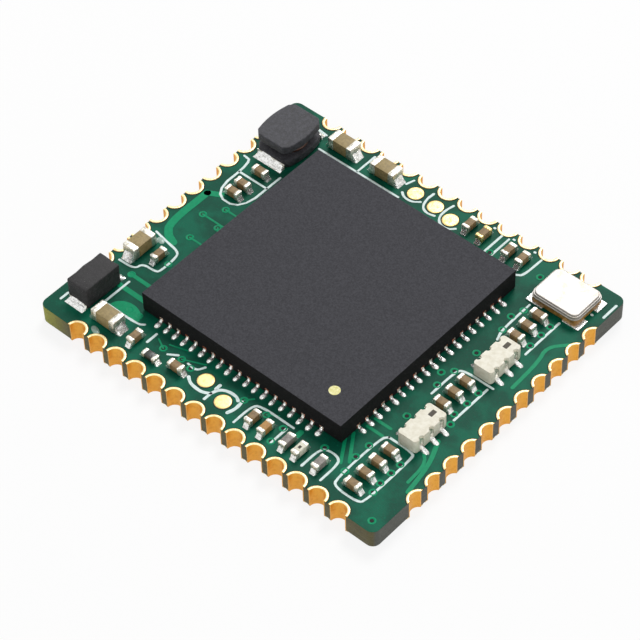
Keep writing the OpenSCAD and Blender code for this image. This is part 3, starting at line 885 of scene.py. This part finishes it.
def make_power_inductor():
    low, high = corners("power_inductor_core")
    centre = (low + high) / 2
    half_y = (high.y - low.y) / 2
    outline = flange_outline((high.x - low.x) / 2 - DRUM_BOW, half_y, DRUM_BOW, DRUM_CUT)
    base, head = (at(centre.x, centre.y, z) for z in (low.z, high.z - UPPER_FLANGE_T))
    core = Piece("drum_core")
    core.add(prism(outline, 0, LOWER_FLANGE_T, 0.03), DRUM_FERRITE, base)
    core.add(prism(outline, 0, UPPER_FLANGE_T, 0.045, 3), DRUM_FERRITE, head)
    core.add(turned([(0, 0.3), (POST_R, 0.3), (POST_R, 0.66), (0, 0.66)]), DRUM_FERRITE, base)
    core.done("ferrite", "power_inductor_core")
    low, high = corners("power_inductor_winding")
    wire = (high.z - low.z) / DRUM_TURNS / 2
    outer = (high.x - low.x) / 2 - wire
    inner = POST_R + 0.01
    bumps = [(outer + wire * math.sin(a), wire * (2 * k + 1) - wire * math.cos(a))
             for k in range(DRUM_TURNS) for a in (0.3, 0.9, 1.57, 2.24, 2.84)]
    coil = [(inner, 0), *bumps, (inner, high.z - low.z)]
    winding = Piece("drum_winding").add(turned(coil + coil[:1]), WIRE, at(centre.x, centre.y, low.z))
    winding.done("enamelled_wire", "power_inductor_winding")
    end_feet("drum_feet", "power_inductor_terminals", half_y, **DRUM_FEET)


def end_feet(name, node, half_length, width, climb):
    """Metal at both ends of a part that lies along Y, with solder running out from it."""
    low, high = corners(node)
    centre = (low + high) / 2
    reach = (high.y - low.y) / 2 - half_length
    feet = Piece(name)
    for side, turn in enumerate((90, -90)):
        place = at(centre.x, centre.y, 0, turn) @ at(half_length, 0, TOP)

        def point(u, v, seed=side):
            lump = 1 + 0.35 * noise.noise(Vector((u * 3, v * 3, seed + half_length * 9)))
            edge = math.sqrt(max(0, 1 - abs(v) ** 6))
            return (u * reach, v * width / 2,
                    0.004 + edge * lump * climb * ((1 - u) ** 1.2 * 0.8 + 0.2 * (1 - u ** 4)))

        feet.add(height_field(12, 20, point), SOLDER, place)
        feet.add(block(0.04, width, climb, 0.01, 1), TIN_END, place)
    feet.done("solder", node)


def make_moulded_inductor():
    low, high = corners("moulded_inductor_body")
    size = high - low
    centre = (low + high) / 2
    body = roughened(block(size.x, size.y, size.z, 0.05, 2), 3, 0.02, 6, 2)
    block_piece = Piece("moulded_block").add(body, BLOCK_POWDER, at(centre.x, centre.y, low.z))
    block_piece.done("moulded_powder", "moulded_inductor_body")
    end_feet("moulded_block_feet", "moulded_inductor_terminals", size.y / 2, **BLOCK_FEET)


# ---- crystal and filters -----------------------------------------------------------------------


def round_rectangle(half_x, half_y, radius, steps=6):
    points = []
    for quarter, (sx, sy) in enumerate(((1, -1), (1, 1), (-1, 1), (-1, -1))):
        for k in range(steps + 1):
            turn = math.pi / 2 * (quarter - 1 + k / steps)
            points.append((sx * (half_x - radius) + radius * math.cos(turn),
                           sy * (half_y - radius) + radius * math.sin(turn)))
    return points


CRYSTAL_PAD_X = 0.7
CRYSTAL_PAD_Y = 0.55
LID_R = 0.28
# The lid's steps from the brim up: how far in, where each starts and ends, its rim's radius.
# The last one ends at the lid's top.
LID_STEPS = ((0, 0, 0.05, 0.015), (0.03, 0.03, 0.14, 0.02), (0.07, 0.1, None, 0.04))


def make_crystal():
    low, high = corners("crystal_base")
    centre, size = (low + high) / 2, high - low
    base = prism(round_rectangle(size.x / 2, size.y / 2, 0.08), 0, size.z, 0.015)
    case = Piece("crystal_case").add(base, GOLDEN_CERAMIC, at(centre.x, centre.y, low.z))
    case.done("brown_ceramic", "crystal_base")
    low, high = corners("crystal_lid")
    size = high - low
    lid = Piece("crystal_cover")
    for inset, bottom, top, radius in LID_STEPS:
        outline = round_rectangle(size.x / 2 - inset, size.y / 2 - inset, LID_R - inset / 2)
        step = prism(outline, bottom, top or size.z, radius, 3)
        lid.add(step, LID, at(centre.x, centre.y, low.z))
    lid.done("lid_metal", "crystal_lid")
    low, high = corners("crystal_pads")
    pads = Piece("crystal_joints")
    for sx in (-1, 1):
        for sy in (-1, 1):
            place = at(centre.x + sx * (high.x - low.x - CRYSTAL_PAD_X) / 2,
                       centre.y + sy * (high.y - low.y - CRYSTAL_PAD_Y) / 2, low.z)
            pad = block(CRYSTAL_PAD_X, CRYSTAL_PAD_Y, 0.05, 0.012)
            pads.add(roughened(pad, 1, 0.01, 8), SOLDER, place)
    pads.done("solder", "crystal_pads")


GROOVE_R = 0.1
LINING_T = 0.02
LINING_H = 0.5
TERMINAL_PITCH = 0.5


def filter_outline(half_x, half_y):
    """A rounded rectangle with three half-round grooves in each long side."""
    radius = 0.12
    right = [(half_x - radius + radius * math.cos(t), -half_y + radius + radius * math.sin(t))
             for t in (math.radians(-90 + 15 * k) for k in range(7))]
    for i in (-1, 0, 1):
        right += [(half_x - GROOVE_R * math.sin(t), i * TERMINAL_PITCH - GROOVE_R * math.cos(t))
                  for t in (k * math.pi / 8 for k in range(9))]
    right += [(half_x - radius + radius * math.cos(t), half_y - radius + radius * math.sin(t))
              for t in (math.radians(15 * k) for k in range(7))]
    return right + [(-x, -y) for x, y in right]


def make_filter(number):
    low, high = corners(f"filter_{number}_body")
    centre, size = (low + high) / 2, high - low
    body = Piece(f"filter_{number}_case")
    place = at(centre.x, centre.y, low.z)
    outline = filter_outline(size.x / 2, size.y / 2)
    body.add(prism(outline, 0, size.z, 0.025, 2), CREAM_CERAMIC, place)
    mark = prism(round_rectangle(0.085, 0.14, 0.02, 3), size.z, size.z + 0.004)
    body.add(mark, MARK_INK, place @ at(0, 0.5))
    body.done("cream_ceramic", f"filter_{number}_body")
    low, high = corners(f"filter_{number}_terminals")
    reach = (high.x - low.x - size.x) / 2
    feet = Piece(f"filter_{number}_feet")
    for turn in (0, 180):
        for i in (-1, 0, 1):
            side = at(centre.x, centre.y, 0, turn) @ at(size.x / 2, i * TERMINAL_PITCH)
            inner = GROOVE_R - LINING_T
            lining = [(GROOVE_R, 0), (GROOVE_R, LINING_H), (inner, LINING_H), (inner, 0)]
            feet.add(swept(lining, lambda r: math.pi / 2, 10), TIN_END, side @ at(0, 0, TOP, 90))
            feet.add(foot_blob(reach, 0.2, 0.14), SOLDER, side @ at(-0.08, 0, TOP))
    feet.done("solder", f"filter_{number}_terminals")


def foot_blob(reach, width, climb):
    """Solder in front of a terminal, thinning out and rounded at its end."""
    reach = reach + 0.08
    seed = RANDOM.uniform(0, 50)

    def point(u, v):
        spread = width / 2 * math.sqrt(max(0, 1 - max(0, (u - 0.6) / 0.4) ** 2))
        lump = 1 + 0.3 * noise.noise(Vector((u * 3, v * 2, seed)))
        return (u * reach, v * spread,
                0.004 + lump * climb * (1 - u ** 1.5) * math.sqrt(max(0, 1 - abs(v) ** 3)))

    return height_field(10, 8, point)


# ---- chip parts --------------------------------------------------------------------------------


LARGE_END = 0.25
SMALL_END = 0.15
LARGE_FILLET = 0.2
SMALL_FILLET = 0.12


def make_chip_part(node, body_finish, end_finish, end, slot):
    """A ceramic body between two plated ends."""
    low, high = corners(node)
    size, centre = high - low, (low + high) / 2
    along_y = size.y > size.x
    length, width = max(size.x, size.y), min(size.x, size.y)
    place = at(centre.x, centre.y, low.z, 90 if along_y else 0)
    piece = Piece(f"{node}_piece")
    trim = 0.012
    body = block(length - end, width - 2 * trim, size.z - 2 * trim, 0.02, 2)
    piece.add(body, body_finish, place @ at(0, 0, trim))
    for side in (-1, 1):
        cap = roughened(block(end, width, size.z, 0.035, 2), 1, 0.012, 9, RANDOM.uniform(0, 9))
        piece.add(cap, end_finish, place @ at(side * (length - end) / 2, 0))
    if node == "inductor_front_2":
        mark = prism(round_rectangle(0.06, 0.05, 0.01, 2), size.z - trim, size.z - trim + 0.004)
        piece.add(mark, MARK_INK, place)
    piece.done(slot, node)
    return place, length, width, size.z


def part_finish(node):
    """Body finish, end finish and material slot of a chip part, by its name."""
    special = {"capacitor_back_2": (BROWN_CERAMIC, GOLDEN_END),
               "capacitor_front_3": (ORANGE_CERAMIC, TIN_END),
               "inductor_front_1": (BROWN_CERAMIC, TIN_END)}
    kind = node.split("_")[0]
    slot = {"bulk": "capacitor_ceramic", "capacitor": "capacitor_ceramic", "bead": "grey_ferrite",
            "resistor": "resistor_black", "inductor": "pale_ceramic"}[kind]
    usual = {"bulk": KHAKI_CERAMIC, "capacitor": BROWN_CERAMIC, "bead": GREY_FERRITE,
             "resistor": DARK_GLASS, "inductor": WHITE_CERAMIC}[kind]
    return special.get(node, (usual, TIN_END)) + (slot,)


def make_chip_parts():
    kinds = ("bulk_", "capacitor_", "bead_", "resistor_", "inductor_")
    joints = Piece("part_joints")
    for node in sorted(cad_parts):
        if not node.startswith(kinds):
            continue
        body_finish, end_finish, slot = part_finish(node)
        large = node.startswith("bulk_")
        end = LARGE_END if large else SMALL_END
        place, length, width, height = make_chip_part(node, body_finish, end_finish, end, slot)
        reach = LARGE_FILLET if large else SMALL_FILLET
        for turn in (0, 180):
            foot = end_fillet(reach, 0.92 * width, 0.62 * height)
            joints.add(foot, SOLDER, place @ at(0, 0, 0, turn) @ at(length / 2 - 0.01, 0, -0.03))
    joints.done("solder", "small_part_solder")


def end_fillet(reach, width, climb):
    """Solder that climbs the end of a chip part with a hollow back."""
    seed = RANDOM.uniform(0, 50)

    def point(u, v):
        spread = width / 2 * math.sqrt(max(0, 1 - (0.8 * u) ** 3))
        lump = 1 + 0.2 * noise.noise(Vector((u * 2, v * 2, seed)))
        slope = (1 - u) ** 1.6 * 0.85 + 0.15 * (1 - u ** 4)
        rise = lump * climb * slope * math.sqrt(max(0, 1 - v ** 6))
        return u * (reach + 0.01), v * spread, 0.004 + rise

    return height_field(8, 8, point)


# ---- camera, light and floor -------------------------------------------------------------------


# How strongly the white room lights the board; rays that show the backdrop see it at 1.
ROOM_LIGHT = 0.45
# The view in degrees, azimuth from the front edge, and in millimetres.
VIEW_AZIMUTH, VIEW_ELEVATION, VIEW_ROLL = 43.38, 48.45, -2.19
VIEW_TARGET = (0.233, -0.873, 0.78)
VIEW_DISTANCE = 88.42
VIEW_LENS = 148.3


def make_camera():
    azimuth, elevation, roll = map(math.radians, (VIEW_AZIMUTH, VIEW_ELEVATION, VIEW_ROLL))
    target = Vector(VIEW_TARGET) * MM
    distance = VIEW_DISTANCE * MM
    level_reach = math.cos(elevation)
    back = Vector((math.sin(azimuth) * level_reach, -math.cos(azimuth) * level_reach,
                   math.sin(elevation)))
    level = Vector((0, 0, 1)).cross(back).normalized()
    up = back.cross(level)
    right = level * math.cos(roll) + up * math.sin(roll)
    up = up * math.cos(roll) - level * math.sin(roll)
    data = bpy.data.cameras.new("camera")
    data.lens = VIEW_LENS
    data.sensor_width = 36
    data.clip_start, data.clip_end = 0.005, 2
    camera = bpy.data.objects.new("camera", data)
    bpy.context.scene.collection.objects.link(camera)
    turn = Matrix((right, up, back)).transposed().to_4x4()
    camera.matrix_world = Matrix.Translation(target + back * distance) @ turn
    bpy.context.scene.camera = camera


def make_lamp(name, place, size, watts):
    """A square soft lamp that points at the board."""
    data = bpy.data.lights.new(name, "AREA")
    data.size = size
    data.energy = watts
    lamp = bpy.data.objects.new(name, data)
    lamp.location = place
    lamp.rotation_euler = (-Vector(place)).to_track_quat("-Z", "Y").to_euler()
    bpy.context.scene.collection.objects.link(lamp)


def make_stage():
    bm = bmesh.new()
    bmesh.ops.create_grid(bm, x_segments=1, y_segments=1, size=0.6)
    mesh = bpy.data.meshes.new("floor")
    bm.to_mesh(mesh)
    bm.free()
    floor = bpy.data.objects.new("floor", mesh)
    bpy.context.scene.collection.objects.link(floor)
    f = Finish("white_floor")
    matt = f.node("ShaderNodeBsdfPrincipled",
                  inputs={"Base Color": (0.9, 0.9, 0.9, 1), "Roughness": 0.9})
    glow = f.node("ShaderNodeEmission", inputs={"Color": (1, 1, 1, 1), "Strength": 1.0})
    mixed = f.node("ShaderNodeMixShader", inputs={0: f.seen() * 0.85, 1: matt, 2: glow})
    f.node("ShaderNodeOutputMaterial", inputs={"Surface": mixed})
    mesh.materials.append(f.material)


def make_world():
    world = bpy.data.worlds.new("white_room")
    n = Nodes(world)
    seen, lit = (n.node("ShaderNodeBackground", inputs={"Color": (1, 1, 1, 1), "Strength": strength})
                 for strength in (1.0, ROOM_LIGHT))
    mixed = n.node("ShaderNodeMixShader", inputs={0: n.seen(), 1: lit, 2: seen})
    n.node("ShaderNodeOutputWorld", inputs={"Surface": mixed})
    bpy.context.scene.world = world


def dress_hidden_solids():
    """The thermal pad shows only as a thin line under the chip and keeps its own solid."""
    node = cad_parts["chip_thermal_pad"]
    node.data.materials.clear()
    node.data.materials.append(SOLDER)


bpy.context.scene.view_settings.view_transform = "Standard"
make_camera()
make_stage()
make_world()
make_lamp("key", (-0.06, 0.14, 0.2), 0.09, 0.36)
make_lamp("fill", (0.16, -0.1, 0.14), 0.14, 0.1)
make_board()
make_contacts()
make_test_pads()
make_legend()
make_copper()
make_residue()
make_chip()
make_power_inductor()
make_moulded_inductor()
make_crystal()
make_filter(1)
make_filter(2)
make_chip_parts()
dress_hidden_solids()
